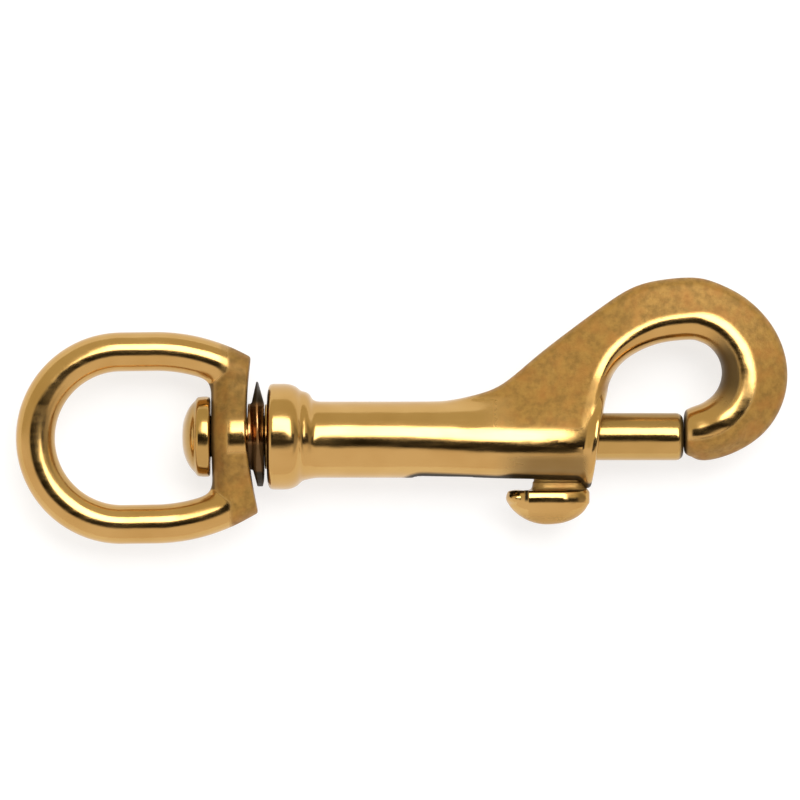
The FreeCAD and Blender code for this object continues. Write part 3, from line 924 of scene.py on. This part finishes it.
def spring_wire():
    """Drawn steel wire with fine lines along it."""
    material, n = new_material("spring_wire")
    place = n.add("ShaderNodeTexCoord").outputs["Object"]
    patches = n.noise(place, 1.5)
    lines = n.noise(place, 0.15, 2.0, 0.5, (1.0, 0.2, 0.2))
    color = n.blend(n.between(patches, 0.3, 0.7), (0.50, 0.50, 0.51, 1), (0.34, 0.33, 0.32, 1))
    rough = n.between(lines, 0.3, 0.7, 0.22, 0.42)
    bump = n.add("ShaderNodeBump", {"Height": lines, "Strength": 0.6, "Distance": 0.01 * MM})
    n.surface({
        "Base Color": color,
        "Metallic": 1.0,
        "Roughness": rough,
        "Normal": bump.outputs[0],
    })
    return material


def floor_paper():
    """Matt pale paper that glows a little, so that it stays nearly white round the snap."""
    material, n = new_material("pale_paper")
    place = n.add("ShaderNodeTexCoord").outputs["Object"]
    tone = n.between(n.noise(place, 2.0), 0.3, 0.7, 0.34, 0.36)
    color = n.add("ShaderNodeCombineColor", {"Red": tone, "Green": tone, "Blue": tone}).outputs[0]
    n.surface({
        "Base Color": color,
        "Roughness": 0.9,
        "Specular IOR Level": 0.1,
        "Emission Color": (1, 1, 1, 1),
        "Emission Strength": 0.7,
    })
    return material


# ---- camera, light and floor ---------------------------------------------------------------------
def add_camera():
    """Straight down on the snap, far enough off that it shows little perspective."""
    length = cad_high.x - cad_low.x
    centre = (cad_low + cad_high) / 2
    shown = 1.0368 * length
    data = bpy.data.cameras.new("camera")
    data.lens = 300
    data.sensor_width = 36
    camera = bpy.data.objects.new("camera", data)
    camera.location = (
        centre.x - 0.0021 * length,
        centre.y + 0.0127 * length,
        shown / data.sensor_width * data.lens,
    )
    bpy.context.scene.collection.objects.link(camera)
    bpy.context.scene.camera = camera


WINDOW_LIGHT = 6.5
OPENING_TONE = (0.015, 0.012, 0.008, 1)
LOW_RIGHT_TONE = (0.05, 0.045, 0.03, 1)
NEAR_TONE = (1.05, 0.97, 0.92, 1)
FAR_TONE = (0.76, 0.70, 0.52, 1)


def add_world():
    """Light tent round the snap. Straight overhead is a dark opening for the camera, and beyond it a bright
    window, long from left to right, whose near edge comes nearer towards +X. Low on the +X side the tent
    is dark. Directions are measured by how far they lean sideways and away for each unit up."""
    world = bpy.data.worlds.new("light_tent")
    world.use_nodes = True
    world.node_tree.nodes.clear()
    n = Nodes(world.node_tree)
    direction = n.add("ShaderNodeTexCoord").outputs["Generated"]
    parts = n.add("ShaderNodeSeparateXYZ", {0: direction})
    up = n.math("MAXIMUM", parts.outputs["Z"], 0.03)
    side = n.math("DIVIDE", parts.outputs["X"], up)
    away = n.math("DIVIDE", parts.outputs["Y"], up)
    tone = n.blend(n.between(away, -0.3, 0.3), NEAR_TONE, FAR_TONE)
    level_with_snap = n.between(n.math("ABSOLUTE", away), 0.6, 1.4, 0.6, 0.0)
    shade = n.math("MULTIPLY", n.between(side, 0.9, 1.6), level_with_snap)
    tone = n.blend(shade, tone, LOW_RIGHT_TONE)
    opening = n.math("MULTIPLY", n.between(away, -0.5, -0.36), n.between(away, 0.12, 0.22, 1, 0))
    across = n.math("MULTIPLY", n.between(side, -0.7, -0.5), n.between(side, 1.25, 1.55, 1, 0))
    tone = n.blend(n.math("MULTIPLY", opening, across), tone, OPENING_TONE)
    slanted = n.math("ADD", away, n.math("MULTIPLY", n.math("MAXIMUM", side, 0.0), 0.32))
    window = n.math("MULTIPLY", n.between(slanted, 0.17, 0.25), n.between(away, 0.84, 0.96, 1, 0))
    window = n.math("MULTIPLY", window, n.between(side, -0.24, -0.12))
    window = n.math("MULTIPLY", window, n.between(side, 0.6, 0.75, 1, 0))
    tone = n.blend(window, tone, (WINDOW_LIGHT, WINDOW_LIGHT, WINDOW_LIGHT, 1))
    background = n.add("ShaderNodeBackground", {"Color": tone, "Strength": 1.0})
    n.add("ShaderNodeOutputWorld", {"Surface": background.outputs[0]})
    bpy.context.scene.world = world


def add_floor():
    size = 1.5
    mesh = bpy.data.meshes.new("floor")
    z = cad_low.z
    corners = [(-size, -size, z), (size, -size, z), (size, size, z), (-size, size, z)]
    mesh.from_pydata(corners, [], [(0, 1, 2, 3)])
    floor = bpy.data.objects.new("floor", mesh)
    floor.data.materials.append(floor_paper())
    bpy.context.scene.collection.objects.link(floor)


# ---- the scene -----------------------------------------------------------------------------------
def stand_for(piece, body, node, material):
    """Gives a piece its material and the body it rides on, and lets it stand for its CAD node."""
    piece.data.materials.append(material)
    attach(piece, body)
    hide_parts(node)
    return piece


add_camera()
add_world()
add_floor()
bpy.context.scene.view_settings.view_transform = "Standard"

cast_skin = (0.30, 0.165, 0.036, 1)
cast_brass = brass("cast_brass", (0.57, 0.355, 0.125, 1), (0.52, 0.31, 0.10, 1), cast_skin, 0.12)
turned_brass = brass("turned_brass", (0.50, 0.31, 0.10, 1), (0.45, 0.275, 0.085, 1), cast_skin, 0.12)
aged_brass = brass("aged_brass", (0.50, 0.27, 0.11, 1), (0.42, 0.21, 0.08, 1), (0.05, 0.03, 0.02, 1), 0.15)

stand_for(hook_body(), "hook", "hook_body", cast_brass)
stand_for(swivel_eye(), "eye", "swivel_eye", cast_brass)
stand_for(latch_bolt(), "bolt", "latch_bolt", turned_brass)
stand_for(thumb_knob(), "bolt", "thumb_knob", cast_brass)
stand_for(swivel_stud(), "hook", "swivel_stud", turned_brass)
stand_for(thrust_washer(), "washer", "thrust_washer", aged_brass)
spring = stand_for(bolt_spring(), "hook", "bolt_spring", spring_wire())
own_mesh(spring)
